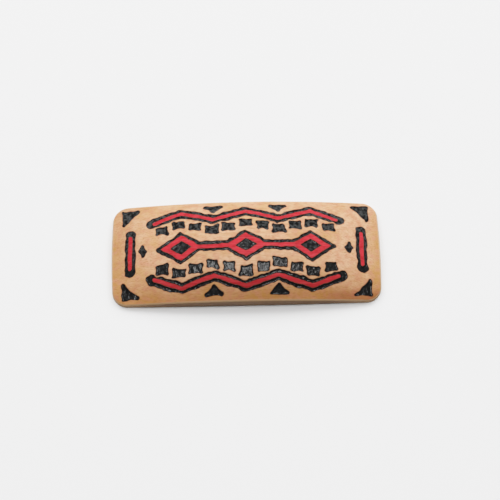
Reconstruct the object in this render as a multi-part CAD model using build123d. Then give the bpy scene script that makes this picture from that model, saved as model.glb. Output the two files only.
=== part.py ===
from build123d import *
import os
from math import cos, pi, radians, sqrt, tan

# Wooden hair clip: a domed, hollow-backed wooden plate with a closed steel clasp glued into its back.
# It lies face up: X runs along the plate, Y across it, and its rim stands on Z = 0.

# Driving sizes of the plate, in millimetres and degrees
plate_length = 100.0
plate_width = 40.5
end_bow = 0.6
side_bow = 0.3
corner_radius = 5.5
mid_edge_height = 4.7
end_edge_height = 1.1
shoulder_width = 5.0
mid_shoulder_slope = 25.0
end_shoulder_slope = 5.0
edge_round = 0.6

# Driving sizes of the hollow in the back and of the clasp's seat
face_wall = 2.8
rim_width = 4.2
hollow_corner_radius = 4.0
seat_depth = 0.5

# Driving sizes of the clasp
clasp_length = 62.0
bar_width = 8.0
bar_thickness = 0.8
arm_width = 6.0
arm_thickness = 0.9
arm_bow = 0.9
barrel_diameter = 2.2
cheek_thickness = 0.8
hinge_length = 3.4
catch_length = 4.2
catch_bridge = 1.4
foot_round = 1.0
thumb_tab_reach = 2.6
thumb_tab_thickness = 0.7
thumb_tab_round = 0.5

# Driving sizes of the carved ornament: zigzag bands, a chain of lozenges, rows of blocks and triangles
carve_depth = 0.4
outline_width = 0.8
band_width = 2.0
border_margin = 2.1
zigzag_bays = 6
zigzag_end_margin = 14.0
zigzag_edge_margin = 6.95
zigzag_swing = 1.9
bay_triangle_base = 8.4
bay_triangle_height = 3.6
lozenge_half_height = 6.2
lozenge_ring = 2.4
link_length = 5.0
blocks_each_side = 5
block_length = 4.6
block_height = 3.5
block_row_inset = 5.0
block_row_centre = 8.3
block_row_swing = 1.4
end_bar_length = 17.0
end_bar_margin = 7.0
end_diamond_length = 3.2
end_diamond_height = 5.0
corner_triangle_leg = 7.0
corner_margin = 4.0

# Clearances
glue_gap = 0.1
seat_margin = 0.4
floor_gap = 0.3

# Stations along the plate, as shares of its half length, and how far the raw dome runs past its outline
stations = (-1.04, -0.5, 0.0, 0.5, 1.04)
dome_overhang = 2.0
cut_depth = 8.0

half_length = plate_length / 2
half_width = plate_width / 2
crown_half = half_width - shoulder_width


def arch(x, at_end, at_mid):
    """A value that follows a parabola from the plate's ends to its middle."""
    return at_end + (at_mid - at_end) * (1 - (x / half_length) ** 2)


def edge_height(x):
    """Height of the plate's upper long edge over its rim."""
    return arch(x, end_edge_height, mid_edge_height)


def shoulder_slope(x):
    """Slope of the straight shoulder beside the long edge."""
    return radians(arch(x, end_shoulder_slope, mid_shoulder_slope))


def crown_height(x):
    """Height of the face on the centre line, where the crown's arc meets the shoulders smoothly."""
    slope = shoulder_slope(x)
    return edge_height(x) + shoulder_width * tan(slope) + crown_half * tan(slope / 2)


def dome_section(x, lowered, base):
    """Outline across the dome: upright sides, straight shoulders and the crown's arc."""
    slope = shoulder_slope(x)
    shoulder = edge_height(x) + shoulder_width * tan(slope) - lowered
    side = edge_height(x) - dome_overhang * tan(slope) - lowered
    reach = half_width + dome_overhang
    sides = Polyline((-crown_half, shoulder), (-reach, side), (-reach, base), (reach, base), (reach, side),
                     (crown_half, shoulder))
    crown = ThreePointArc((crown_half, shoulder), (0, crown_height(x) - lowered), (-crown_half, shoulder))
    across = Plane(origin=(x, 0, 0), x_dir=(0, 1, 0), z_dir=(1, 0, 0))
    return across * make_face([sides, crown])


def dome(lowered, base):
    """The raw dome, larger than the plate all round, with its face lowered as asked."""
    return loft([dome_section(share * half_length, lowered, base) for share in stations])


def plan_outline(inset, radius):
    """The plate's outline from above: four gently bowed sides with round corners."""
    x_corner = half_length - end_bow - inset
    y_corner = half_width - side_bow - inset
    x_end = half_length - inset
    y_side = half_width - inset
    outline = make_face([
        ThreePointArc((-x_corner, -y_corner), (0, -y_side), (x_corner, -y_corner)),
        ThreePointArc((x_corner, -y_corner), (x_end, 0), (x_corner, y_corner)),
        ThreePointArc((x_corner, y_corner), (0, y_side), (-x_corner, y_corner)),
        ThreePointArc((-x_corner, y_corner), (-x_end, 0), (-x_corner, -y_corner)),
    ])
    return fillet(outline.vertices(), radius)


# The seat's ceiling is an arc along the plate that keeps one depth under the crown
seat_half = clasp_length / 2
seat_top = crown_height(0) - face_wall + seat_depth
seat_rise = crown_height(0) - crown_height(seat_half)
seat_radius = (seat_half**2 + seat_rise**2) / (2 * seat_rise)
seat_centre = seat_top - seat_radius


def seat_height(x, lowered):
    """Height of an arc that runs as far under the seat's ceiling as asked."""
    return seat_centre + sqrt((seat_radius - lowered) ** 2 - x**2)


def seat_arc(half, lowered):
    """The arc under the seat's ceiling, as long each way from the middle as asked."""
    end = seat_height(half, lowered)
    return ThreePointArc((-half, end), (0, seat_height(0, lowered)), (half, end))


def extrude_across(edges, width):
    """A profile drawn along the plate, made as wide as asked and centred across the plate."""
    return extrude(Plane.XZ * make_face(edges), amount=width / 2, both=True)


def polygon(points):
    """A flat face inside the points given."""
    return make_face(Polyline(points, close=True))


def stroke(points, width):
    """A band of the width given along a broken line, with mitred bends and square ends."""
    path = [Vector(x, y) for x, y in points]
    ahead = [(after - before).normalized() for before, after in zip(path, path[1:])]
    left, right = [], []
    for index, point in enumerate(path):
        before = ahead[max(index - 1, 0)]
        after = ahead[min(index, len(ahead) - 1)]
        normal = (before + after).rotate(Axis.Z, 90).normalized()
        mitre = width / 2 / normal.dot(after.rotate(Axis.Z, 90))
        left.append(point + normal * mitre)
        right.append(point - normal * mitre)
    return polygon(left + right[::-1])


# The ornament's grid: the zigzag's bends, with a lozenge under each outer one
zigzag_half = half_length - zigzag_end_margin
bay_length = 2 * zigzag_half / zigzag_bays
bends = [bay_length * index - zigzag_half for index in range(zigzag_bays + 1)]
inner_bends, outer_bends = bends[::2], bends[1::2]
border = half_width - border_margin
lozenge_half_length = bay_length - link_length / 2
cut_width = band_width + 2 * outline_width
end_bar_x = half_length - end_bar_margin


def diamond(x, reach, rise):
    """An upright lozenge centred on the plate's length."""
    return polygon([(x - reach, 0), (x, rise), (x + reach, 0), (x, -rise)])


def lozenge(x, inset):
    """One of the chain's lozenges, drawn in from its outline by the inset."""
    slant = sqrt(lozenge_half_length**2 + lozenge_half_height**2)
    share = 1 - inset * slant / (lozenge_half_length * lozenge_half_height)
    return diamond(x, lozenge_half_length * share, lozenge_half_height * share)


def zigzag(side):
    """A zigzag band along one long side: what it cuts, and the band that stands inside the cut."""
    middle = half_width - zigzag_edge_margin
    line = [(x, side * (middle + (zigzag_swing if x in outer_bends else -zigzag_swing))) for x in bends]
    (first, first_y), (last, last_y) = line[0], line[-1]
    inner = [(first + outline_width, first_y)] + line[1:-1] + [(last - outline_width, last_y)]
    return stroke(line, cut_width), stroke(inner, band_width)


def end_bar(side):
    """The upright bar at one end: what it cuts, and the bar that stands inside the cut."""
    x, half = side * end_bar_x, end_bar_length / 2
    inner = half - outline_width
    return stroke([(x, -half), (x, half)], cut_width), stroke([(x, -inner), (x, inner)], band_width)


def lozenge_chain():
    """The lozenges and the links between them: what they cut, and the rings and links left standing."""
    line = [(outer_bends[0], 0), (outer_bends[-1], 0)]
    cut = [stroke(line, cut_width)] + [lozenge(x, 0) for x in outer_bends]
    links = stroke(line, band_width) - [lozenge(x, outline_width) for x in outer_bends]
    rings = [lozenge(x, outline_width) - lozenge(x, outline_width + lozenge_ring) for x in outer_bends]
    return cut, rings + [links]


def block_row(side):
    """A row of blocks that waves between the zigzag and the lozenges."""
    pitch = (zigzag_half - block_row_inset) / blocks_each_side
    places = [pitch * index for index in range(-blocks_each_side, blocks_each_side + 1)]
    waves = [block_row_swing * cos(pi * (x - outer_bends[len(outer_bends) // 2]) / bay_length) for x in places]
    return [Pos(x, side * (block_row_centre + wave)) * Rectangle(block_length, block_height)
            for x, wave in zip(places, waves)]


def border_triangles(side):
    """Triangles along one long edge that point into the zigzag's bays, and one in each corner."""
    half, tip = bay_triangle_base / 2, border - bay_triangle_height
    bays = [polygon([(x - half, side * border), (x + half, side * border), (x, side * tip)])
            for x in inner_bends[1:-1]]
    corner, leg = half_length - corner_margin, corner_triangle_leg
    corners = [polygon([(end * corner, side * border), (end * (corner - leg), side * border),
                        (end * corner, side * (border - leg))]) for end in (-1, 1)]
    return bays + corners


def carving_outline():
    """Everything that the carving takes from the face, seen from above."""
    cut, kept = lozenge_chain()
    for side in (-1, 1):
        diamond_x = side * (outer_bends[-1] + lozenge_half_length + end_bar_x) / 2
        cut.append(diamond(diamond_x, end_diamond_length / 2, end_diamond_height / 2))
        cut += block_row(side) + border_triangles(side)
        for band_cut, band in (zigzag(side), end_bar(side)):
            cut.append(band_cut)
            kept.append(band)
    return Sketch() + cut - kept


def face_edges(body):
    """The edges between the plate's face and its upright sides."""
    nearly_level, nearly_flat = 0.9, 0.01
    sides = body.faces().filter_by(lambda face: abs(face.normal_at().Z) < nearly_flat)
    above = sides.edges().filter_by(lambda edge: edge.center().Z > end_edge_height / 2)
    return above.filter_by(lambda edge: abs(edge.tangent_at(0.5).Z) < nearly_level)


def make_plate():
    """The wooden plate: a dome cut to its outline and carved, with the hollow and the seat in its back."""
    tall = crown_height(0) + dome_overhang
    body = dome(0, 0) & extrude(plan_outline(0, corner_radius), amount=tall)
    body = fillet(face_edges(body), edge_round)
    chips = extrude(carving_outline(), amount=tall) - dome(carve_depth, -cut_depth)
    inner_outline = extrude(plan_outline(rim_width, hollow_corner_radius), amount=tall + cut_depth)
    hollow = dome(face_wall, -2 * cut_depth) & Pos(0, 0, -cut_depth) * inner_outline
    half = seat_half + seat_margin
    end = seat_height(half, 0)
    seat_sides = Polyline((half, end), (half, -cut_depth), (-half, -cut_depth), (-half, end))
    seat = extrude_across([seat_arc(half, 0), seat_sides], bar_width + 2 * seat_margin)
    return body - chips - hollow - seat


def make_bar():
    """The clasp's bar, which follows the seat's ceiling a film of glue below it."""
    upper, lower = glue_gap, glue_gap + bar_thickness
    ends = [Line((x, seat_height(x, upper)), (x, seat_height(x, lower))) for x in (-seat_half, seat_half)]
    return extrude_across([seat_arc(seat_half, upper), seat_arc(seat_half, lower)] + ends, bar_width)


def make_arm(start, end):
    """The spring arm that closes under the hair, bowed down towards the rim plane in its middle."""
    low, high = floor_gap + arm_bow, floor_gap
    middle = (start + end) / 2
    under = ThreePointArc((start, low), (middle, high), (end, low))
    over = ThreePointArc((start, low + arm_thickness), (middle, high + arm_thickness), (end, low + arm_thickness))
    ends = [Line((x, low), (x, low + arm_thickness)) for x in (start, end)]
    return extrude_across([under, over] + ends, arm_width)


def make_cheeks(x, length, low):
    """A pair of upright cheeks at one end of the bar, rounded at their feet, from the height given."""
    high = seat_height(seat_half, glue_gap + bar_thickness / 2)
    cheek = Pos(x, 0, (low + high) / 2) * Box(length, cheek_thickness, high - low)
    feet = cheek.edges().filter_by(Axis.Y).group_by(Axis.Z)[0]
    cheek = fillet(feet, foot_round)
    reach = (bar_width - cheek_thickness) / 2
    return Pos(0, -reach, 0) * cheek + Pos(0, reach, 0) * cheek


def make_clasp():
    """The closed clasp in one piece: the glued bar, the arm under it, the hinge and the catch."""
    arm_middle = floor_gap + arm_bow + arm_thickness / 2
    cheek_foot = arm_middle - barrel_diameter / 2
    hinge_x = hinge_length / 2 - seat_half
    catch_x = seat_half - catch_length / 2
    barrel = Pos(hinge_x, 0, arm_middle) * Rot(90, 0, 0) * Cylinder(barrel_diameter / 2, bar_width)
    bridge = Pos(catch_x, 0, arm_middle) * Box(catch_bridge, bar_width, arm_thickness)
    tabs = Pos(catch_x, 0, arm_middle) * Box(catch_length, bar_width + 2 * thumb_tab_reach, thumb_tab_thickness)
    tabs -= Pos(catch_x, 0, arm_middle) * Box(catch_length + 1, bar_width - cheek_thickness, arm_thickness + 1)
    tabs = fillet(tabs.edges().filter_by(Axis.Z), thumb_tab_round)
    return (make_bar() + make_arm(hinge_x, catch_x) + make_cheeks(hinge_x, hinge_length, cheek_foot)
            + make_cheeks(catch_x, catch_length, cheek_foot) + barrel + bridge + tabs)


plate = make_plate()
clasp = make_clasp()
os.makedirs("parts", exist_ok=True)
export_step(plate, "parts/wood_plate.step")
export_step(clasp, "parts/hair_clasp.step")
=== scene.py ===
"""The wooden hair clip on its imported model: a carved, burnt and stained beech plate with a steel clasp.

The plate's face is a fine grid that is bent to the dome. The carving is cut into it where the ornament's
distances say, and the same distances stay on the mesh as attributes, so that lacquer and stain end exactly at
the cuts.
"""

import logging
import random
from dataclasses import dataclass
from enum import Enum, IntEnum
from math import cos, exp, hypot, pi, radians, sin

import bmesh
import bpy
import numpy as np
from mathutils import Matrix, Vector, noise


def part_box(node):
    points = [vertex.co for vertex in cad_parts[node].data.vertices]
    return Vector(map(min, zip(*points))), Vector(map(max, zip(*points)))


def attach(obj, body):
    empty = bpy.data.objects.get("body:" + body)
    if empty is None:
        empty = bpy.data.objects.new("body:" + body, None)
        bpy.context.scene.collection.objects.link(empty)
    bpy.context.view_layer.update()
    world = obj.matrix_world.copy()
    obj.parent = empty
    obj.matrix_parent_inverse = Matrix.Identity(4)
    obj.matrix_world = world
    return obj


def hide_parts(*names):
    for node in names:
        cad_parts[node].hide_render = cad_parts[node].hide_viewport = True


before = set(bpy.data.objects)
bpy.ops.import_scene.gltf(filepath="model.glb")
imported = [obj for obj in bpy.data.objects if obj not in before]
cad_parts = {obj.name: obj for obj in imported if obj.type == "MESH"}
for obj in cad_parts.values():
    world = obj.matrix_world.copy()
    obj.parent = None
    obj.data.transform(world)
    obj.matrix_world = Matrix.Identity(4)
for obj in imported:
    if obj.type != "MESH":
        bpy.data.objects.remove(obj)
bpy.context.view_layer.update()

log = logging.getLogger("wooden_hair_clip")

MM = 0.001

# What the face keeps at each vertex: its distances in millimetres to the burnt cuts, the stain and the rim.
DISTANCES = ("carving", "stain", "rim")

# A Mix node has sockets of one name for several kinds of data, so they go by number.
FLOAT_A, FLOAT_B = 2, 3
COLOUR_A, COLOUR_B = 6, 7
MIXED_COLOUR = 2

Point = tuple[float, float]
Colour = tuple[float, float, float, float]
Array = np.ndarray
BMesh = bmesh.types.BMesh
BMVert = bmesh.types.BMVert
NodeTree = bpy.types.NodeTree
Socket = bpy.types.NodeSocket
Values = dict[str, Socket]
Inputs = dict[str | int, float | tuple[float, ...] | Socket]


class NoiseLayer(Enum):
    """Which layer of the endless noise an unevenness reads, so that no two are alike."""

    CUT = 1.3
    STAIN = 21.9
    LUMPS = 31.7
    FACE = 9.1
    FLOOR = 5.3


class PlateSide(IntEnum):
    """The plate's two finishes, in the order of its materials."""

    FACE = 0
    BACK = 1


class Bend(Enum):
    """How a ramp runs between its ends."""

    STRAIGHT = "LINEAR"
    SMOOTH = "SMOOTHSTEP"


class Blend(Enum):
    """How a layer of colour meets what lies under it."""

    COVER = "MIX"
    TINT = "MULTIPLY"


def linear(hex_colour: str) -> Colour:
    """Turns an sRGB colour to linear light.

    Args:
        hex_colour: the colour as six hexadecimal digits.

    Returns:
        Red, green, blue and an alpha of one.
    """
    shares = [int(hex_colour[i:i + 2], 16) / 255 for i in (0, 2, 4)]
    red, green, blue = (s / 12.92 if s <= 0.04045 else ((s + 0.055) / 1.055) ** 2.4 for s in shares)
    return red, green, blue, 1.0


def add_node(tree: NodeTree, kind: str, inputs: Inputs | None = None, **settings: object) -> bpy.types.Node:
    """Adds a node with its settings, and sets or links its inputs.

    Args:
        tree: the material's node tree.
        kind: the node's type name.
        inputs: a value or another node's output for each input's name or number.
        settings: the node's own properties.

    Returns:
        The new node.
    """
    node = tree.nodes.new(kind)
    for name, value in settings.items():
        setattr(node, name, value)
    for socket, value in (inputs or {}).items():
        if isinstance(value, Socket):
            tree.links.new(value, node.inputs[socket])
        else:
            node.inputs[socket].default_value = value
    return node


def add_mesh(bm: BMesh, name: str, *finishes: "Finish", sharp_angle: float = 30.0) -> bpy.types.Object:
    """Puts a mesh into the scene as a smooth object.

    Args:
        bm: the mesh, which is freed.
        name: the name of the object and of its mesh.
        finishes: its finishes, in the order that its faces count them.
        sharp_angle: how far two faces turn, in degrees, for the edge between them to stay sharp.

    Returns:
        The object.
    """
    for face in bm.faces:
        face.smooth = True
    mesh = bpy.data.meshes.new(name)
    bm.to_mesh(mesh)
    bm.free()
    mesh.set_sharp_from_angle(angle=radians(sharp_angle))
    for finish in finishes:
        mesh.materials.append(finish.material())
    return add_object(name, mesh)


def add_object(name: str, data: bpy.types.ID) -> bpy.types.Object:
    """Puts an object into the scene.

    Args:
        name: the object's name.
        data: its mesh, light or camera.

    Returns:
        The object.
    """
    made = bpy.data.objects.new(name, data)
    bpy.context.scene.collection.objects.link(made)
    return made


def smooth_step(share: Array) -> Array:
    """A soft ramp from 0 to 1 as the share goes from 0 to 1."""
    held = np.clip(share, 0, 1)
    return held * held * (3 - 2 * held)


def wander(x: Array, y: Array, wave: float, layer: float) -> Array:
    """Three smooth random values from about -1 to 1 for each place, whose swells lie a wave apart."""
    places = np.column_stack([x / wave, y / wave, np.full_like(x, layer)])
    return np.array([noise.noise_vector(place) for place in places.tolist()])


def nearest(x: Array, y: Array, start: Point, end: Point) -> tuple[Array, Array]:
    """Finds the nearest point of a straight line.

    Args:
        x: places along the plate.
        y: places across it.
        start: where the line starts.
        end: where it ends.

    Returns:
        How far along the line that point is, from 0 to 1, and the distance to it.
    """
    run_x, run_y = end[0] - start[0], end[1] - start[1]
    share = np.clip(((x - start[0]) * run_x + (y - start[1]) * run_y) / (run_x**2 + run_y**2), 0, 1)
    return share, np.hypot(x - start[0] - share * run_x, y - start[1] - share * run_y)


def stroke(x: Array, y: Array, line: list[Point], width: float) -> Array:
    """Distance to a band of one width along a broken line with round ends, negative inside it."""
    return np.minimum.reduce([nearest(x, y, *run)[1] for run in zip(line, line[1:])]) - width / 2


def diamond(centre: float, reach: float, rise: float) -> list[Point]:
    """Corners of a diamond on the plate's middle line, by its middle, half its length and half its height."""
    return [(centre - reach, 0), (centre, rise), (centre + reach, 0), (centre, -rise)]


@dataclass(frozen=True)
class Pattern:
    """Soft marks, by their size in millimetres. Those with a length are drawn out along the object."""

    name: str
    width: float
    length: float = 0.0
    detail: float = 2.0
    roughness: float = 0.5

    def of(self, place: Socket) -> Inputs:
        """Inputs of its Noise Texture node."""
        return {"Vector": place, "Scale": 1 / (self.width * MM), "Detail": self.detail,
                "Roughness": self.roughness}


@dataclass(frozen=True)
class Ramp:
    """How one value turns into another, as what it reads goes from start to end, in its unit.

    What it gives at its low and high end is a number or the name of another value.
    """

    name: str
    reads: str
    start: float
    end: float
    low: float | str = 0.0
    high: float | str = 1.0
    unit: float = 1.0
    bend: Bend = Bend.SMOOTH

    def of(self, known: Values) -> Inputs:
        """Inputs of its Map Range node, from the values that are known."""
        return {"Value": known[self.reads], "From Min": self.start * self.unit,
                "From Max": self.end * self.unit, "To Min": known.get(self.low, self.low),
                "To Max": known.get(self.high, self.high)}


@dataclass(frozen=True)
class Relief:
    """How strongly a pattern stands out of its surface, and how deep it is in millimetres."""

    strength: float
    depth: float

    def of(self, height: Socket) -> Inputs:
        """Inputs of its Bump node."""
        return {"Height": height, "Strength": self.strength, "Distance": self.depth * MM}


@dataclass(frozen=True)
class Layer:
    """A colour that shows as far as a named value says. It is a hex value, or the name of another stack."""

    share: str
    colour: str
    blend: Blend = Blend.COVER


@dataclass(frozen=True)
class Stack:
    """A ground colour as a hex value, with layers of colour over it."""

    name: str
    ground: str
    layers: tuple[Layer, ...] = ()


@dataclass(frozen=True)
class Outline:
    """A rectangle in millimetres with round corners and bowed sides, which a square grid is fitted to."""

    half_length: float
    half_width: float
    corner_radius: float
    end_bow: float
    side_bow: float

    def along_side(self, share: Array, half: float) -> tuple[Array, Array, Array]:
        """Walks along half a side, and round the corner to its middle.

        Args:
            share: how far to walk, from -1 to 1.
            half: half the side's length.

        Returns:
            The place along the side, how far the corner has dropped back, and the angle turned.
        """
        straight = half - self.corner_radius
        walked = np.abs(share) * (straight + self.corner_radius * pi / 4)
        turn = np.maximum(walked - straight, 0) / self.corner_radius
        along = np.minimum(walked, straight) + self.corner_radius * np.sin(turn)
        return np.sign(share) * along, self.corner_radius * (1 - np.cos(turn)), turn

    def place(self, u: Array, v: Array) -> tuple[Array, Array]:
        """Fits points of a square from -1 to 1 to the outline.

        Args:
            u: places along the square.
            v: places across it.

        Returns:
            Places along and across the plate.
        """
        corner_drop = self.corner_radius * (1 - cos(pi / 4))
        along, end_drop, _ = self.along_side(u, self.half_length)
        across, side_drop, _ = self.along_side(v, self.half_width)
        x = along + u * (corner_drop - side_drop)
        y = across + v * (corner_drop - end_drop)
        bowed_x = x - u * self.end_bow * (y / self.half_width) ** 2
        bowed_y = y - v * self.side_bow * (x / self.half_length) ** 2
        return bowed_x, bowed_y

    def outward(self, u: float, v: float) -> Vector:
        """Finds the level direction that points out of the outline.

        Args:
            u: where a point of the square's border is along the square.
            v: where it is across it.

        Returns:
            The direction, of length one.
        """
        on_end = abs(u) > abs(v)
        share, half = (v, self.half_width) if on_end else (u, self.half_length)
        turn = float(self.along_side(np.array(share), half)[2])
        if on_end:
            return Vector((np.sign(u) * cos(turn), np.sign(v) * sin(turn), 0))
        return Vector((np.sign(u) * sin(turn), np.sign(v) * cos(turn), 0))


@dataclass(frozen=True)
class PlateForm:
    """The plate's shape in millimetres and degrees, as its solid has it: a hollow dome on a straight rim."""

    half_length: float
    half_width: float
    end_bow: float = 0.6
    side_bow: float = 0.3
    corner_radius: float = 5.5
    mid_edge_height: float = 4.7
    end_edge_height: float = 1.1
    shoulder_width: float = 5.0
    mid_shoulder_slope: float = 25.0
    end_shoulder_slope: float = 5.0
    edge_round: float = 0.6
    rim_round: float = 0.25
    face_wall: float = 2.8
    least_ceiling: float = 0.05
    rim_width: float = 4.2
    hollow_corner_radius: float = 4.0
    clasp_half_length: float = 31.0
    clasp_half_width: float = 4.0
    seat_margin: float = 0.4
    seat_depth: float = 0.5

    @classmethod
    def from_frame(cls) -> "PlateForm":
        """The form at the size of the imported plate."""
        low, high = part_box("wood_plate")
        return cls((high.x - low.x) / 2 / MM, (high.y - low.y) / 2 / MM)

    @property
    def seat_half_length(self) -> float:
        """Half the length of the clasp's seat."""
        return self.clasp_half_length + self.seat_margin

    @property
    def seat_half_width(self) -> float:
        """Half the width of the clasp's seat."""
        return self.clasp_half_width + self.seat_margin

    def arch(self, x: Array, at_end: float, at_mid: float) -> Array:
        """A value that follows a parabola from the plate's ends to its middle."""
        return at_end + (at_mid - at_end) * (1 - (x / self.half_length) ** 2)

    def face_height(self, x: Array, y: Array) -> Array:
        """Finds the height of the uncarved face: straight shoulders and an arc that meets them smoothly.

        Args:
            x: places along the plate.
            y: places across it.

        Returns:
            Heights over the rim's plane.
        """
        slope = np.radians(self.arch(x, self.end_shoulder_slope, self.mid_shoulder_slope))
        edge = self.arch(x, self.end_edge_height, self.mid_edge_height)
        crown_half = self.half_width - self.shoulder_width
        radius = crown_half / np.sin(slope)
        crown_foot = edge + self.shoulder_width * np.tan(slope)
        shoulder = edge + (self.half_width - np.abs(y)) * np.tan(slope)
        level = np.minimum(np.abs(y), crown_half)
        crown = crown_foot - radius * np.cos(slope) + np.sqrt(radius**2 - level**2)
        return np.where(np.abs(y) > crown_half, shoulder, crown)

    def seat_height(self, x: Array) -> Array:
        """Finds the height of the clasp's seat, an arc that keeps one depth under the crown.

        Args:
            x: places along the plate.

        Returns:
            Heights over the rim's plane.
        """
        reach = self.clasp_half_length
        middle, end = (self.face_height(np.array(place), np.array(0.0)) for place in (0.0, reach))
        rise = middle - end
        radius = (reach**2 + rise**2) / (2 * rise)
        top = middle - self.face_wall + self.seat_depth
        return top - radius + np.sqrt(radius**2 - np.minimum(np.abs(x), self.seat_half_length) ** 2)

    def ceiling_height(self, x: Array, y: Array) -> Array:
        """Finds the height of the hollow's ceiling, with the clasp's seat let into it.

        Args:
            x: places along the plate.
            y: places across it.

        Returns:
            Heights over the rim's plane.
        """
        ceiling = np.maximum(self.face_height(x, y) - self.face_wall, self.least_ceiling)
        in_seat = (np.abs(x) < self.seat_half_length) & (np.abs(y) < self.seat_half_width)
        return np.where(in_seat, np.maximum(self.seat_height(x), ceiling), ceiling)

    def outline(self, inset: float, corner_radius: float) -> Outline:
        """The plate's outline from above, drawn in by an inset."""
        return Outline(self.half_length - inset, self.half_width - inset, corner_radius,
                       self.end_bow, self.side_bow)


@dataclass(frozen=True)
class Ornament:
    """The carved ornament in millimetres: zigzag bands, a chain of lozenges, rows of blocks and triangles.

    Its shapes are read as distances, which are negative inside a shape. A hollow is how far a shape's sides
    bow in at their middle, as a share of their length.
    """

    half_length: float
    half_width: float
    outline_width: float = 0.8
    band_width: float = 2.0
    border_margin: float = 2.1
    zigzag_bays: int = 6
    zigzag_end_margin: float = 14.0
    zigzag_edge_margin: float = 6.95
    zigzag_swing: float = 1.9
    bay_triangle_base: float = 8.4
    bay_triangle_height: float = 3.6
    lozenge_half_height: float = 6.2
    lozenge_ring: float = 2.4
    link_length: float = 5.0
    blocks_each_side: int = 5
    block_length: float = 4.6
    block_height: float = 3.5
    block_row_inset: float = 5.0
    block_row_centre: float = 8.3
    block_row_swing: float = 1.4
    end_bar_length: float = 17.0
    end_bar_margin: float = 7.0
    end_diamond_length: float = 3.2
    end_diamond_height: float = 5.0
    corner_triangle_leg: float = 7.0
    corner_margin: float = 4.0
    tip_radius: float = 0.5
    corner_jitter: float = 0.4
    block_hollow: float = 0.09
    triangle_hollow: float = 0.045
    triangle_calm: float = 0.7
    bridge: float = 0.5
    black_tip: float = 1.2
    seed: int = 11

    @property
    def bends(self) -> list[float]:
        """Where the zigzag bends, along the plate."""
        half = self.half_length - self.zigzag_end_margin
        return [half * (2 * index / self.zigzag_bays - 1) for index in range(self.zigzag_bays + 1)]

    @property
    def lozenge_half_length(self) -> float:
        """Half the length of a lozenge, which leaves room for a link to the next."""
        return self.bends[1] - self.bends[0] - self.link_length / 2

    def drawn_in(self, before: Point, corner: Point, after: Point) -> Point:
        """Moves a corner in until both of its sides have moved in by the hot tip's radius.

        Args:
            before: the corner before it.
            corner: the corner.
            after: the corner after it.

        Returns:
            Where the corner has moved to.
        """
        back, ahead = (Vector(beside) - Vector(corner) for beside in (before, after))
        way = (back.normalized() + ahead.normalized()).normalized()
        return tuple(Vector(corner) + way * self.tip_radius / sin(back.angle(ahead) / 2))

    def polygon(self, x: Array, y: Array, corners: list[Point], hollow: float = 0.0) -> Array:
        """Finds the distance to a convex shape whose corners are as round as the hot tip that burns them.

        Args:
            x: places along the plate.
            y: places across it.
            corners: the shape's corners, in order.
            hollow: how far each side bows in at its middle, as a share of its length.

        Returns:
            Distances, negative inside.
        """
        before, after = corners[-1:] + corners[:-1], corners[1:] + corners[:1]
        tips = [self.drawn_in(*three) for three in zip(before, corners, after)]
        sides = list(zip(tips, tips[1:] + tips[:1]))
        shares, distances = (np.array(values) for values in zip(*(nearest(x, y, *side) for side in sides)))
        turns = [(b[0] - a[0]) * (y - a[1]) - (b[1] - a[1]) * (x - a[0]) for a, b in sides]
        inside = (np.minimum.reduce(turns) > 0) | (np.maximum.reduce(turns) < 0)
        chosen = np.argmin(distances, axis=0)[np.newaxis]
        distance = np.take_along_axis(distances, chosen, 0)[0]
        share = np.take_along_axis(shares, chosen, 0)[0]
        lengths = np.array([hypot(b[0] - a[0], b[1] - a[1]) for a, b in sides])
        bow = hollow * lengths[chosen[0]] * (1 - (2 * share - 1) ** 2)
        return np.where(inside, -distance, distance) + bow - self.tip_radius

    def lozenges(self, x: Array, y: Array, inset: float) -> list[Array]:
        """Distances to each of the chain's lozenges, drawn in from its outline by the inset."""
        reach, rise = self.lozenge_half_length, self.lozenge_half_height
        return [self.polygon(x, y, diamond(centre, reach, rise)) + inset for centre in self.bends[1::2]]

    def bands(self, tip: float = 0.0) -> list[list[Point]]:
        """Draws the lines that the stained bands follow: two zigzags, two end bars and the chain's links.

        Args:
            tip: how much shorter they are at each free end than what is cut for them.

        Returns:
            The points of each line, with the links last.
        """
        pull = self.band_width / 2 + tip
        middle = self.half_width - self.zigzag_edge_margin
        lines = []
        for side in (-1, 1):
            zigzag = [(x, side * (middle + self.zigzag_swing * (1 if index % 2 else -1)))
                      for index, x in enumerate(self.bends)]
            zigzag[0] = (zigzag[0][0] + pull, zigzag[0][1])
            zigzag[-1] = (zigzag[-1][0] - pull, zigzag[-1][1])
            bar_x, half = side * (self.half_length - self.end_bar_margin), self.end_bar_length / 2 - pull
            lines += [zigzag, [(bar_x, -half), (bar_x, half)]]
        lines.append([(self.bends[1], 0), (self.bends[-2], 0)])
        return lines

    def solid_blacks(self) -> list[list[Point]]:
        """Places the diamonds and triangles, which are black all over.

        Returns:
            The corners of each shape.
        """
        shapes = []
        border = self.half_width - self.border_margin
        corner_x = self.half_length - self.corner_margin
        tip = border - self.bay_triangle_height
        diamond_x = (self.bends[-2] + self.lozenge_half_length + self.half_length - self.end_bar_margin) / 2
        base, leg = self.bay_triangle_base / 2, self.corner_triangle_leg
        for side in (-1, 1):
            shapes.append(diamond(side * diamond_x, self.end_diamond_length / 2, self.end_diamond_height / 2))
            for x in self.bends[2:-1:2]:
                shapes.append([(x - base, side * border), (x + base, side * border), (x, side * tip)])
            for end in (-1, 1):
                shapes.append([(end * corner_x, side * border), (end * (corner_x - leg), side * border),
                               (end * corner_x, side * (border - leg))])
        return shapes

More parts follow.
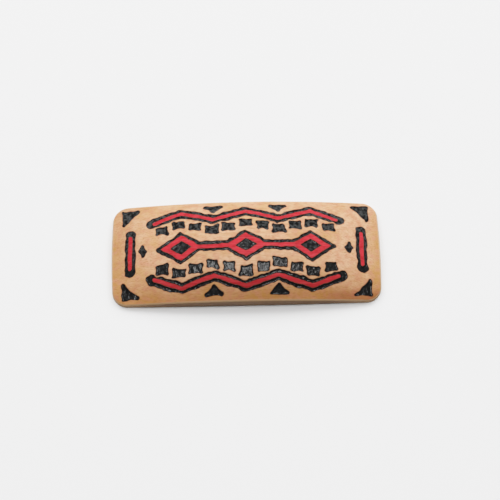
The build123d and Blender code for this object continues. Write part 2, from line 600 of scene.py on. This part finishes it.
    def blocks(self, side: int) -> list[list[Point]]:
        """Places a row of blocks, no two alike, that waves between the zigzag and the lozenges.

        Args:
            side: -1 for the near row, 1 for the far one.

        Returns:
            The corners of each block.
        """
        chance = random.Random(self.seed + side)
        pitch = (self.half_length - self.zigzag_end_margin - self.block_row_inset) / self.blocks_each_side
        bay = self.bends[1] - self.bends[0]
        half, rise = self.block_length / 2, self.block_height / 2
        row = []
        for index in range(-self.blocks_each_side, self.blocks_each_side + 1):
            x = pitch * index
            y = side * (self.block_row_centre + self.block_row_swing * cos(pi * x / bay))
            row.append([(x + along * half + chance.uniform(-1, 1) * self.corner_jitter,
                         y + across * rise + chance.uniform(-1, 1) * self.corner_jitter)
                        for along, across in ((-1, -1), (1, -1), (1, 1), (-1, 1))])
        return row

    def cut(self, x: Array, y: Array, burn: float, lumps: Array) -> Array:
        """Finds the distance to everything burnt, with a bridge of wood left between each shape and the next.

        Args:
            x: places along the plate.
            y: places across it.
            burn: how far the burn spreads past what was drawn.
            lumps: how much farther it bulges at each place, which shows less at the triangles and diamonds.

        Returns:
            Distances, negative inside.
        """
        width = self.band_width + 2 * self.outline_width
        *shapes, links = [stroke(x, y, line, width) for line in self.bands()]
        shapes.append(np.minimum.reduce([links, *self.lozenges(x, y, 0)]))
        shapes += [self.polygon(x, y, corners, self.triangle_hollow) + self.triangle_calm * lumps
                   for corners in self.solid_blacks()]
        shapes += [self.polygon(x, y, corners, self.block_hollow)
                   for side in (-1, 1) for corners in self.blocks(side)]
        first, second = np.partition(shapes, 1, axis=0)[:2] - burn - lumps
        return first + np.maximum(self.bridge - first - second, 0) / 2

    def stain(self, x: Array, y: Array) -> Array:
        """Finds the distance to everything that is stained, inside the cuts.

        Args:
            x: places along the plate.
            y: places across it.

        Returns:
            Distances, negative inside.
        """
        *bands, links = [stroke(x, y, line, self.band_width) for line in self.bands(self.black_tip)]
        bodies = self.lozenges(x, y, self.outline_width)
        cores = self.lozenges(x, y, self.outline_width + self.lozenge_ring)
        chain = np.maximum(np.minimum.reduce([links, *bodies]), -np.minimum.reduce(cores))
        return np.minimum.reduce([*bands, chain])


@dataclass(frozen=True)
class Hand:
    """How far the maker's hand strays, in millimetres: wavy cuts, uneven outlines and rough gouge floors."""

    long_wave: float = 5.5
    long_stray: float = 0.4
    short_wave: float = 1.8
    short_stray: float = 0.36
    short_layer_shift: float = 3.7
    burn_spread: float = 0.24
    lump_wave: float = 2.3
    lump: float = 0.36
    floor_wave: float = 1.0
    floor_stray: float = 0.09
    face_wave: float = 11.0
    face_stray: float = 0.05
    seed: int = 4

    def strays(self, x: Array, y: Array, layer: NoiseLayer) -> tuple[Array, Array]:
        """Finds how far a drawn line has strayed.

        Args:
            x: places along the plate.
            y: places across it.
            layer: what was drawn there.

        Returns:
            How far it has strayed along and across the plate.
        """
        shift = self.long_stray * wander(x, y, self.long_wave, layer.value)
        shift += self.short_stray * wander(x, y, self.short_wave, layer.value + self.short_layer_shift)
        return shift[:, 0], shift[:, 1]


@dataclass(frozen=True)
class Finish:
    """A finish of patterns, ramps that read them, and stacks of colour. Each value goes by its name."""

    name: str
    stacks: tuple[Stack, ...]
    patterns: tuple[Pattern, ...] = ()
    ramps: tuple[Ramp, ...] = ()

    def readings(self, tree: NodeTree) -> Values:
        """What the patterns read: the place on the object, in metres."""
        return {"place": add_node(tree, "ShaderNodeTexCoord").outputs["Object"]} if self.patterns else {}

    def joined(self, tree: NodeTree, known: Values) -> Values:
        """What joins two values before the colours are laid, for a finish that needs it."""
        return {}

    def surface(self, tree: NodeTree, known: Values) -> Inputs:
        """Inputs of the finish's own shader."""
        raise NotImplementedError

    def material(self) -> bpy.types.Material:
        """Makes the finish's material.

        Returns:
            The material.
        """
        made = bpy.data.materials.new(self.name)
        made.use_nodes = True
        tree = made.node_tree
        tree.nodes.clear()
        known = self.readings(tree)
        for pattern in self.patterns:
            way = known["place"]
            if pattern.length:
                stretch = (pattern.width / pattern.length, 1, 1)
                way = add_node(tree, "ShaderNodeMapping", {"Vector": way, "Scale": stretch}).outputs[0]
            known[pattern.name] = add_node(tree, "ShaderNodeTexNoise", pattern.of(way)).outputs["Fac"]
        for ramp in self.ramps:
            known[ramp.name] = add_node(tree, "ShaderNodeMapRange", ramp.of(known),
                                        interpolation_type=ramp.bend.value).outputs[0]
        known |= self.joined(tree, known)
        for stack in self.stacks:
            colour = linear(stack.ground)
            for layer in stack.layers:
                over = known[layer.colour] if layer.colour in known else linear(layer.colour)
                colour = add_node(
                    tree, "ShaderNodeMix", {"Factor": known[layer.share], COLOUR_A: colour, COLOUR_B: over},
                    data_type="RGBA", blend_type=layer.blend.value).outputs[MIXED_COLOUR]
            known[stack.name] = colour
        shader = add_node(tree, "ShaderNodeBsdfPrincipled", self.surface(tree, known))
        add_node(tree, "ShaderNodeOutputMaterial", {"Surface": shader.outputs[0]})
        return made


@dataclass(frozen=True)
class CarvedBeech(Finish):
    """Beech, sanded and oiled, its carving burnt with a hot tip and lacquered, its bands stained red.

    The oil gives the bare wood a dull, even sheen and deepens its colour in patches. The burnt floor is a
    rough near black that glints where lacquer has filled it. The stain soaks in, so the grain shows through.
    Lengths are in millimetres, from the plate's middle to the right and the far side, or from the rim in.
    """

    name: str = "carved_beech_burnt_and_stained"
    patterns: tuple[Pattern, ...] = (
        # Oil is taken up unevenly, in patches and in a finer mottling.
        Pattern("patches", 9.0, detail=3.0, roughness=0.55),
        Pattern("mottling", 2.2),
        # The hot tip's marks are about as wide as the tip.
        Pattern("gouging", 1.1, detail=3.0),
        # Denser wood runs in streaks. Real ones are finer too, but these are the finest that show.
        Pattern("streaks", 0.6, length=14.0, detail=4.0, roughness=0.6),
        # Real ray flecks are 0.1 to 0.2 mm wide. These are drawn a little coarser, so that they show. The
        # pores are finer still, and aren't drawn.
        Pattern("flecking", 0.22, length=1.8, detail=1.0))
    ramps: tuple[Ramp, ...] = (
        # The wood is warmer in patches. It is also warmer and darker towards the rim, a little at the far
        # side and most on the near half: painted shade, where the face slopes away from the light.
        Ramp("warm_patches", "patches", 0.38, 0.66, -0.2, 0.65, bend=Bend.STRAIGHT),
        Ramp("near_half_shade", "across", 16.0, 2.0, 0.15, 0.95, unit=MM, bend=Bend.STRAIGHT),
        Ramp("warm_rim_and_shade", "rim", 0.0, 7.0, low="near_half_shade", high=0.0),
        Ramp("blush", "mottling", 0.42, 0.66, high=0.9, bend=Bend.STRAIGHT),
        Ramp("grain", "streaks", 0.45, 0.7, high=0.45, bend=Bend.STRAIGHT),
        Ramp("flecks", "flecking", 0.5, 0.7, high=0.5),
        # The near corner at the right is a little darker: painted shade, where the face turns away from the
        # light.
        Ramp("right_end", "along", 22.0, 38.0, unit=MM),
        Ramp("right_corner_shade", "across", -14.5, -18.5, high="right_end", unit=MM),
        # The face's edge is pale, a painted highlight where the edge catches the light. The side under it is
        # a darker brown that is deepest at mid-length: painted shade, where the side is tallest and most in
        # shadow.
        Ramp("arris_highlight", "rim", 0.75, 0.35, high=0.7),
        Ramp("side_shade_at_middle", "from_middle", 28.0, 46.0, 0.8, 0.15, unit=MM),
        Ramp("side", "rim", 0.1, -0.12, high="side_shade_at_middle"),
        Ramp("side_grain", "streaks", 0.35, 0.65, bend=Bend.STRAIGHT),
        # The left end is darker. The near side is darker too, which is painted shade where the near slope
        # turns away from the light.
        Ramp("darker_left_end", "along", -34.0, -47.0, high=0.4, unit=MM),
        Ramp("near_side_shade", "across", -6.0, -19.0, unit=MM),
        # The stain and the burn end sharply, and a scorched line runs along the burn.
        Ramp("stained", "stain", -0.05, 0.05, 1.0, 0.0),
        Ramp("scorched", "carving", 0.0, 0.28, 0.55, 0.0),
        Ramp("burnt", "carving", -0.07, 0.05, 1.0, 0.0),
        # The burnt wood is paler grey in gouged places, most of all on the far half, where the grey is a
        # painted sheen. It is darker towards the near side, which is painted shade.
        Ramp("far_half_sheen", "across", 10.0, -13.0, 1.0, 0.0, unit=MM),
        Ramp("paled_and_sheen", "gouging", 0.42, 0.62, high="far_half_sheen", bend=Bend.STRAIGHT),
        Ramp("wood_roughness", "patches", 0.0, 1.0, 0.44, 0.6, bend=Bend.STRAIGHT),
        Ramp("burnt_roughness", "gouging", 0.3, 0.7, 0.5, 0.28, bend=Bend.STRAIGHT))
    stacks: tuple[Stack, ...] = (
        Stack("side_wood", "7b5e45", (Layer("side_grain", "553f2e"),)),
        # The red deepens in mottled patches and at the left end, and on the near side, where the deeper red
        # is painted shade.
        Stack("red_wood", "b6222b", (Layer("deep_red_and_shade", "98151d"), Layer("grain", "c7474d"))),
        # The paled grey over the black is a painted sheen on the far half, fading to painted shade on the
        # near side.
        Stack("burnt_wood", "070707", (Layer("paled_and_sheen", "353636"),)),
        # On the face, the warmth, the right corner, the side and the held tint paint shade over the wood's
        # own colour, and the arris layer is a painted highlight.
        Stack("face", "ce9a78", (
            Layer("warmth_and_shade", "b67f49"), Layer("blush", "c18164"), Layer("grain", "a6703f"),
            Layer("flecks", "8a5b35"), Layer("right_corner_shade", "dac6c0", Blend.TINT),
            Layer("arris_highlight", "bda387"), Layer("side", "side_wood"), Layer("stained", "red_wood"),
            Layer("held", "dad2c2", Blend.TINT), Layer("scorched", "3c2012"),
            Layer("burnt", "burnt_wood"))))
    wood_relief: Relief = Relief(0.15, 0.05)
    burnt_relief: Relief = Relief(0.6, 0.3)
    ior: float = 1.5
    oil_gloss: float = 0.1
    lacquer: float = 0.26
    lacquer_roughness: float = 0.15

    def readings(self, tree: NodeTree) -> Values:
        """Adds the places along and across the plate, and the mesh's distances.

        Args:
            tree: the material's node tree.

        Returns:
            The outputs that the patterns and ramps read.
        """
        known = super().readings(tree)
        along, across, _ = add_node(tree, "ShaderNodeSeparateXYZ", {"Vector": known["place"]}).outputs
        from_middle = add_node(tree, "ShaderNodeMath", {0: along}, operation="ABSOLUTE").outputs[0]
        known |= {"along": along, "across": across, "from_middle": from_middle}
        for name in DISTANCES:
            known[name] = add_node(tree, "ShaderNodeAttribute", attribute_name=name).outputs["Fac"]
        return known

    def joined(self, tree: NodeTree, known: Values) -> Values:
        """Joins the wood's warmth with its painted shade, the darker left end with the painted shade of the
        near side, and what deepens the stain.

        Args:
            tree: the material's node tree.
            known: the values so far.

        Returns:
            The shares of the warmth with its painted shade, of the tint of the left end and the near side's
            painted shade, and of the deep stain, which takes that shade too.
        """
        warmth_and_shade = add_node(tree, "ShaderNodeMath", {0: known["warm_rim_and_shade"], 1: known["warm_patches"]},
                          operation="ADD", use_clamp=True).outputs[0]
        # The held share is the darker left end together with the painted shade of the near side.
        held = add_node(tree, "ShaderNodeMath", {0: known["darker_left_end"], 1: known["near_side_shade"]},
                        operation="MAXIMUM").outputs[0]
        deep_red_and_shade = add_node(tree, "ShaderNodeMath", {0: known["blush"], 1: held}, operation="MAXIMUM")
        return {"warmth_and_shade": warmth_and_shade, "held": held, "deep_red_and_shade": deep_red_and_shade.outputs[0]}

    def surface(self, tree: NodeTree, known: Values) -> Inputs:
        """Raises the grain all over and the hot tip's marks in the cuts, which alone are lacquered.

        Args:
            tree: the material's node tree.
            known: the values so far.

        Returns:
            Inputs of the shader.
        """
        burnt = known["burnt"]
        rough = add_node(tree, "ShaderNodeMix", {
            "Factor": burnt, FLOAT_A: known["wood_roughness"], FLOAT_B: known["burnt_roughness"]},
            data_type="FLOAT").outputs[0]
        fine = add_node(tree, "ShaderNodeBump", self.wood_relief.of(known["streaks"])).outputs[0]
        marks, coat = (add_node(tree, "ShaderNodeMath", {0: burnt, 1: value}, operation="MULTIPLY").outputs[0]
                       for value in (known["gouging"], self.lacquer))
        bump = add_node(tree, "ShaderNodeBump", self.burnt_relief.of(marks) | {"Normal": fine}).outputs[0]
        return {"Base Color": known["face"], "Roughness": rough, "Normal": bump, "IOR": self.ior,
                "Specular IOR Level": self.oil_gloss, "Coat Weight": coat,
                "Coat Roughness": self.lacquer_roughness, "Coat Normal": bump}


@dataclass(frozen=True)
class BareBeech(Finish):
    """Beech as the cutter left it in the hollow, unoiled: pale and dry, with the cutter's fine streaks."""

    name: str = "bare_beech"
    patterns: tuple[Pattern, ...] = (Pattern("streaks", 0.5, length=10.0, detail=4.0),)
    ramps: tuple[Ramp, ...] = (Ramp("dark", "streaks", 0.35, 0.75, bend=Bend.STRAIGHT),)
    stacks: tuple[Stack, ...] = (Stack("hollow", "dcb68c", (Layer("dark", "b58a5e"),)),)
    relief: Relief = Relief(0.4, 0.08)
    roughness: float = 0.75
    ior: float = 1.5

    def surface(self, tree: NodeTree, known: Values) -> Inputs:
        """Raises the streaks. Takes the tree and the values so far, and returns inputs of the shader."""
        bump = add_node(tree, "ShaderNodeBump", self.relief.of(known["streaks"])).outputs[0]
        return {"Base Color": known["hollow"], "Normal": bump, "Roughness": self.roughness, "IOR": self.ior}


@dataclass(frozen=True)
class NickelledSteel(Finish):
    """Spring steel, rolled and nickel plated: a warm grey metal with fine lines and dull handling marks."""

    name: str = "nickel_plated_steel"
    patterns: tuple[Pattern, ...] = (
        # Real rolling lines are a few hundredths of a millimetre wide, so these are drawn coarser to show.
        Pattern("lines", 0.12, length=6.0), Pattern("smudges", 5.0, detail=3.0))
    stacks: tuple[Stack, ...] = (Stack("metal", "d8d4cc", (Layer("smudges", "a9a59c"),)),)
    roughness: Ramp = Ramp("roughness", "wear", 0.1, 0.5, 0.2, 0.42, bend=Bend.STRAIGHT)
    relief: Relief = Relief(0.2, 0.02)

    def surface(self, tree: NodeTree, known: Values) -> Inputs:
        """Raises the rolling lines, which are rougher where they are smudged.

        Args:
            tree: the material's node tree.
            known: the values so far.

        Returns:
            Inputs of the shader.
        """
        wear = add_node(tree, "ShaderNodeMath", {0: known["lines"], 1: known["smudges"]},
                        operation="MULTIPLY").outputs[0]
        rough = add_node(tree, "ShaderNodeMapRange", self.roughness.of({"wear": wear})).outputs[0]
        bump = add_node(tree, "ShaderNodeBump", self.relief.of(known["lines"])).outputs[0]
        return {"Base Color": known["metal"], "Roughness": rough, "Normal": bump, "Metallic": 1.0}


@dataclass(frozen=True)
class MattPaper(Finish):
    """Matt white paper, uncoated, so that it scatters light evenly and barely shines."""

    name: str = "matt_white_paper"
    stacks: tuple[Stack, ...] = (Stack("paper", "f0f0f0"),)
    roughness: float = 0.9
    gloss: float = 0.1

    def surface(self, tree: NodeTree, known: Values) -> Inputs:
        """Inputs of the shader."""
        return {"Base Color": known["paper"], "Roughness": self.roughness, "Specular IOR Level": self.gloss}


@dataclass(frozen=True)
class BorderPoint:
    """Where a border vertex started, with its place on the square, the way out and the face's slope."""

    square: Point
    outward: Vector
    origin: Vector
    slope: float


Border = dict[BMVert, BorderPoint]


@dataclass
class CarvedPlate:
    """The wooden plate in one mesh: the carved face, its rounded edge, the side, the rim and the hollow back.

    Its sizes are in millimetres and degrees, but for the seat's gap and where the border starts, which are on
    the square from -1 to 1 that each grid is made on.
    """

    form: PlateForm
    ornament: Ornament
    hand: Hand
    cells_along: int = 400
    cells_across: int = 160
    back_share: int = 4
    carve_depth: float = 0.4
    wall_run: float = 0.3
    slope_step: float = 0.02
    least_steepness: float = 0.5
    round_steps: int = 4
    side_distance: float = -1.0
    border_start: float = 0.9999
    square_digits: int = 4
    seat_gap: float = 0.002
    sharp_angle: float = 38.0

    def face(self, bm: BMesh) -> Border:
        """Makes the carved face from a grid.

        Args:
            bm: the mesh to add it to.

        Returns:
            The face's border.
        """
        layers = [bm.verts.layers.float.new(name) for name in DISTANCES]
        made = bmesh.ops.create_grid(bm, x_segments=self.cells_along, y_segments=self.cells_across, size=1.0)
        verts = made["verts"]
        square = np.array([v.co[:2] for v in verts])
        outline = self.form.outline(self.form.edge_round, self.form.corner_radius - self.form.edge_round)
        x, y = outline.place(square[:, 0], square[:, 1])
        x, y, carving, stain = self.drawn(x, y)
        swell = self.hand.face_stray * wander(x, y, self.hand.face_wave, NoiseLayer.FACE.value)[:, 0]
        height = self.form.face_height(x, y) + swell
        rough = self.hand.floor_stray * wander(x, y, self.hand.floor_wave, NoiseLayer.FLOOR.value)[:, 0]
        height -= smooth_step(-carving / self.wall_run) * (self.carve_depth + rough)
        places = np.column_stack([x, y, height])
        distances = np.column_stack([carving, stain, self.rim_distance(x, y)])
        for vert, place, values in zip(verts, places, distances):
            vert.co = Vector(place) * MM
            for layer, value in zip(layers, values):
                vert[layer] = value
        return self.border(verts, square, outline)

    def border(self, verts: list[BMVert], square: Array, outline: Outline) -> Border:
        """Picks a bent grid's border out of its vertices.

        Args:
            verts: the grid's vertices.
            square: their places on the unit square.
            outline: the outline that the grid was fitted to.

        Returns:
            The border's vertices, with how steeply the face falls outwards there.
        """
        found = {}
        for vert, (u, v) in zip(verts, square):
            if max(abs(u), abs(v)) > self.border_start:
                out = outline.outward(u, v)
                x, y, _ = vert.co / MM
                inner, outer = self.form.face_height(np.array([x, x + out.x]), np.array([y, y + out.y]))
                slope = float(np.arctan(max(inner - outer, 0.0)))
                at = (round(float(u), self.square_digits), round(float(v), self.square_digits))
                found[vert] = BorderPoint(at, out, vert.co.copy(), slope)
        return found

    def rim_distance(self, x: Array, y: Array) -> Array:
        """Finds roughly how far each place lies inside the plate's outline.

        Args:
            x: places along the plate.
            y: places across it.

        Returns:
            Distances, negative outside.
        """
        radius = self.form.corner_radius
        over_x = np.abs(x) - (self.form.half_length - radius)
        over_y = np.abs(y) - (self.form.half_width - radius)
        outside = np.hypot(np.maximum(over_x, 0), np.maximum(over_y, 0))
        return radius - outside - np.minimum(np.maximum(over_x, over_y), 0)

    def drawn(self, x: Array, y: Array) -> tuple[Array, ...]:
        """Draws the ornament on the grid's points, and moves those beside a cut's edge onto it.

        Args:
            x: places along the plate.
            y: places across it.

        Returns:
            Places along and across the plate, and each one's distances to the burnt cuts and to the stain.
        """
        cut_x, cut_y = self.hand.strays(x, y, NoiseLayer.CUT)
        stain_x, stain_y = self.hand.strays(x, y, NoiseLayer.STAIN)
        lumps = self.hand.lump * wander(x, y, self.hand.lump_wave, NoiseLayer.LUMPS.value)[:, 0]

        def distances(shift_x: float, shift_y: float) -> tuple[Array, Array]:
            """Finds the distances a little beside each place.

            Args:
                shift_x: how far along the plate.
                shift_y: how far across it.

            Returns:
                The distances to the burnt cuts and to the stain, which don't overlap.
            """
            burn = self.hand.burn_spread
            cut = self.ornament.cut(x + cut_x + shift_x, y + cut_y + shift_y, burn, lumps)
            at_x, at_y = x + (cut_x + stain_x) / 2 + shift_x, y + (cut_y + stain_y) / 2 + shift_y
            stain = self.ornament.stain(at_x, at_y) + burn
            return np.maximum(cut, -stain), np.maximum(stain, cut)

        step = self.slope_step
        carving, _ = distances(0, 0)
        slope_x = (distances(step, 0)[0] - distances(-step, 0)[0]) / (2 * step)
        slope_y = (distances(0, step)[0] - distances(0, -step)[0]) / (2 * step)
        steepness = np.maximum(np.hypot(slope_x, slope_y), self.least_steepness)
        reach = self.form.half_length / self.cells_along
        inside = self.rim_distance(x, y) > self.form.edge_round + 2 * reach
        beside = (np.abs(carving) < reach) & inside
        x = np.where(beside, x - carving * slope_x / steepness**2, x)
        y = np.where(beside, y - carving * slope_y / steepness**2, y)
        return x, y, *distances(0, 0)

    def next_ring(self, bm: BMesh, ring: Border) -> Border:
        """Extrudes the open border once, where it lies.

        Args:
            bm: the mesh.
            ring: the border.

        Returns:
            The new border.
        """
        edges = [edge for edge in bm.edges if edge.is_boundary and all(vert in ring for vert in edge.verts)]
        made = bmesh.ops.extrude_edge_only(bm, edges=edges)
        grown = {}
        for new in made["geom"]:
            if isinstance(new, BMVert):
                beside = [edge.other_vert(new) for edge in new.link_edges]
                grown[new] = next(ring[vert] for vert in beside if vert in ring)
        return grown

    def edge(self, bm: BMesh, ring: Border) -> Border:
        """Rounds the face's edge, and draws the side down to the rim, which is rounded too.

        Args:
            bm: the mesh.
            ring: the face's border.

        Returns:
            The border at the rim's plane.
        """
        form = self.form
        rim = bm.verts.layers.float["rim"]
        for step in range(1, self.round_steps + 1):
            ring = self.next_ring(bm, ring)
            for vert, point in ring.items():
                vert[rim] = form.edge_round * (1 - step / self.round_steps)
                angle = point.slope + (pi / 2 - point.slope) * step / self.round_steps
                reach = form.edge_round * (sin(angle) - sin(point.slope)) / (1 - sin(point.slope))
                drop = form.edge_round * (cos(point.slope) - cos(angle))
                vert.co = point.origin + point.outward * reach * MM - Vector((0, 0, drop * MM))
        for step in range(self.round_steps):
            angle = pi / 2 * step / (self.round_steps - 1)
            ring = self.next_ring(bm, ring)
            for vert, point in ring.items():
                vert[rim] = self.side_distance
                reach = form.edge_round - form.rim_round * (1 - cos(angle))
                side = point.origin + point.outward * reach * MM
                vert.co = Vector((side.x, side.y, form.rim_round * (1 - sin(angle)) * MM))
        return ring

    def lines_with_step(self, count: int, step_at: float) -> Array:
        """Places a grid's lines from -1 to 1, with two close together at each side of the seat.

        Args:
            count: how many cells the lines bound.
            step_at: where the seat's side is.

        Returns:
            The lines' places.
        """
        lines = np.linspace(-1, 1, count + 1)
        for side in (-1, 1):
            low, high = sorted(np.argsort(np.abs(lines - side * step_at))[:2])
            lines[low] = side * step_at - self.seat_gap / 2
            lines[high] = side * step_at + self.seat_gap / 2
        return lines

    def hollow(self, bm: BMesh) -> Border:
        """Makes the hollow's ceiling from a coarser grid, and draws its wall down to the rim's plane.

        Args:
            bm: the mesh to add it to.

        Returns:
            The hollow's border at the rim's plane.
        """
        form = self.form
        outline = form.outline(form.rim_width, form.hollow_corner_radius)
        counts = self.cells_along // self.back_share, self.cells_across // self.back_share
        made = bmesh.ops.create_grid(bm, x_segments=counts[0], y_segments=counts[1], size=1.0)
        verts = made["verts"]
        square = np.array([v.co[:2] for v in verts])
        # Short of its corners the square is stretched evenly, so it reaches twice as far as its half does.
        half, middle = np.array(0.5), np.array(0.0)
        reach_x = float(outline.place(half, middle)[0]) * 2
        reach_y = float(outline.place(middle, half)[1]) * 2
        lines_u = self.lines_with_step(counts[0], form.seat_half_length / reach_x)
        lines_v = self.lines_with_step(counts[1], form.seat_half_width / reach_y)
        index = np.rint((square + 1) / 2 * counts).astype(int)
        x, y = outline.place(lines_u[index[:, 0]], lines_v[index[:, 1]])
        for vert, place in zip(verts, np.column_stack([x, y, form.ceiling_height(x, y)])):
            vert.co = Vector(place) * MM
        ring = self.next_ring(bm, self.border(verts, square, outline))
        for vert, point in ring.items():
            vert.co = Vector((point.origin.x, point.origin.y, 0))
        for face in {face for vert in verts for face in vert.link_faces}:
            face.material_index = PlateSide.BACK
        return ring

    def close_rim(self, bm: BMesh, outer: Border, inner: Border) -> None:
        """Joins the side to the hollow's wall across the rim, once the side's border is thinned to match.

        Args:
            bm: the mesh.
            outer: the side's border.
            inner: the hollow's border.
        """
        wanted = {point.square for point in inner.values()}
        kept = {point.square: vert for vert, point in outer.items() if point.square in wanted}
        spare = [vert for vert, point in outer.items() if point.square not in wanted]
        across = self.next_ring(bm, inner)
        bmesh.ops.dissolve_verts(bm, verts=spare)
        bmesh.ops.weld_verts(bm, targetmap={vert: kept[point.square] for vert, point in across.items()})

    def build(self) -> bpy.types.Object:
        """Builds the plate and gives it its two finishes.

        Returns:
            The plate.
        """
        noise.seed_set(self.hand.seed)
        bm = bmesh.new()
        outer = self.edge(bm, self.face(bm))
        inner = self.hollow(bm)
        self.close_rim(bm, outer, inner)
        bmesh.ops.recalc_face_normals(bm, faces=bm.faces)
        plate = add_mesh(bm, "carved_plate", CarvedBeech(), BareBeech(), sharp_angle=self.sharp_angle)
        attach(plate, "root")
        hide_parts("wood_plate")
        return plate


@dataclass
class HairClasp:
    """The steel clasp in the hollow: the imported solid, its stamped edges broken, in nickel plate.

    Its sizes are in millimetres and degrees.
    """

    merge_distance: float = 0.001
    flat_angle: float = 1.0
    sharp_angle: float = 30.0
    edge_break: float = 0.1
    edge_segments: int = 2
    edge_profile: float = 0.5

    def build(self) -> bpy.types.Object:
        """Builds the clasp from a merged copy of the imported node.

        Returns:
            The clasp.
        """
        bm = bmesh.new()
        bm.from_mesh(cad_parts["hair_clasp"].data)
        bmesh.ops.remove_doubles(bm, verts=bm.verts, dist=self.merge_distance * MM)
        bmesh.ops.dissolve_limit(bm, angle_limit=radians(self.flat_angle), verts=bm.verts, edges=bm.edges)
        sharp = [edge for edge in bm.edges
                 if len(edge.link_faces) == 2 and edge.calc_face_angle() > radians(self.sharp_angle)]
        bmesh.ops.bevel(bm, geom=sharp, offset=self.edge_break * MM, segments=self.edge_segments,
                        profile=self.edge_profile, affect="EDGES", material=-1, clamp_overlap=True)
        clasp = add_mesh(bm, "steel_clasp", NickelledSteel(), sharp_angle=self.sharp_angle)
        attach(clasp, "root")
        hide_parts("hair_clasp")
        return clasp


@dataclass(frozen=True)
class SoftBox:
    """A square soft light that faces the clip, in degrees, metres and watts.

    Its elevation and azimuth are seen from the clip, and an azimuth of 0 is behind it. One that isn't
    mirrored is left out of glossy reflections.
    """

    name: str
    elevation: float
    azimuth: float
    distance: float
    side: float
    power: float
    mirrored: bool = True

    def build(self) -> None:
        """Adds the light to the scene."""
        data = bpy.data.lights.new(self.name, "AREA")
        data.shape = "SQUARE"
        data.size = self.side
        data.energy = self.power
        lamp = add_object(self.name, data)
        up, round_about = radians(self.elevation), radians(self.azimuth)
        way = Vector((sin(round_about) * cos(up), cos(round_about) * cos(up), sin(up)))
        lamp.location = way * self.distance
        lamp.rotation_mode = "QUATERNION"
        lamp.rotation_quaternion = lamp.location.to_track_quat("Z", "Y")
        lamp.visible_glossy = self.mirrored


@dataclass
class Studio:
    """A pale floor, soft light from above and behind, and a camera at the photograph's angle.

    The floor's side is in metres, and the other lengths are in millimetres. Angles are in degrees.
    """

    lights: tuple[SoftBox, ...] = (
        SoftBox("soft_box_behind_left", 37.5, -38, distance=2.0, side=1.4, power=56, mirrored=False),
        SoftBox("soft_box_behind_right", 37.5, 38, distance=2.0, side=1.4, power=56, mirrored=False),
        SoftBox("soft_box_above", 88, 0, distance=1.6, side=0.5, power=20))
    sky_strength: float = 0.18
    floor_side: float = 3.0
    floor_drop: float = 0.02
    camera_elevation: float = 65.57
    camera_turn: float = -1.302
    camera_distance: float = 597.0
    camera_lens: float = 114.9
    aim: Point = (1.476, 2.389)
    tone_reach: float = 4.0
    tone_steps: int = 8

    def floor(self) -> None:
        """Lays the floor just under the rim."""
        bm = bmesh.new()
        bmesh.ops.create_grid(bm, x_segments=1, y_segments=1, size=self.floor_side / 2)
        floor = add_mesh(bm, "floor", MattPaper())
        floor.location.z = -self.floor_drop * MM

    def sky(self) -> None:
        """Fills the surroundings with an even white."""
        world = bpy.data.worlds.new("white_room")
        world.use_nodes = True
        background = world.node_tree.nodes["Background"].inputs
        background["Color"].default_value = (1, 1, 1, 1)
        background["Strength"].default_value = self.sky_strength
        bpy.context.scene.world = world

    def camera(self) -> None:
        """Sets the camera where the photograph was taken from."""
        data = bpy.data.cameras.new("camera")
        data.lens = self.camera_lens
        camera = add_object("camera", data)
        up = radians(self.camera_elevation)
        turn = Matrix.Rotation(radians(self.camera_turn), 4, "Z")
        back = turn @ Vector((0, -cos(up), sin(up)))
        target = turn @ Vector((*self.aim, 0)) * MM
        camera.location = target + back * self.camera_distance * MM
        camera.rotation_mode = "QUATERNION"
        camera.rotation_quaternion = back.to_track_quat("Z", "Y")
        bpy.context.scene.camera = camera

    def tone(self) -> None:
        """Lets bright tones roll off as a camera does, so that the lit floor stays just under white."""
        settings = bpy.context.scene.view_settings
        settings.view_transform = "Standard"
        settings.use_curve_mapping = True
        mapping = settings.curve_mapping
        mapping.white_level = (self.tone_reach,) * 3
        *_, all_channels = mapping.curves
        all_channels.points[1].location = (1.0, 1 - exp(-self.tone_reach))
        for step in range(1, self.tone_steps):
            share = (step / self.tone_steps) ** 2
            all_channels.points.new(share, 1 - exp(-self.tone_reach * share))
        mapping.update()

    def build(self) -> None:
        """Sets up the floor, the lights, the camera and the tone."""
        self.floor()
        for light in self.lights:
            light.build()
        self.sky()
        self.camera()
        self.tone()


def main() -> None:
    """Builds the clip and the studio."""
    logging.basicConfig(level=logging.INFO, format="%(name)s: %(message)s")
    form = PlateForm.from_frame()
    ornament = Ornament(form.half_length, form.half_width)
    for piece in (CarvedPlate(form, ornament, Hand()).build(), HairClasp().build()):
        log.info("%s: %d faces", piece.name, len(piece.data.polygons))
    Studio().build()


if __name__ == "__main__":
    main()
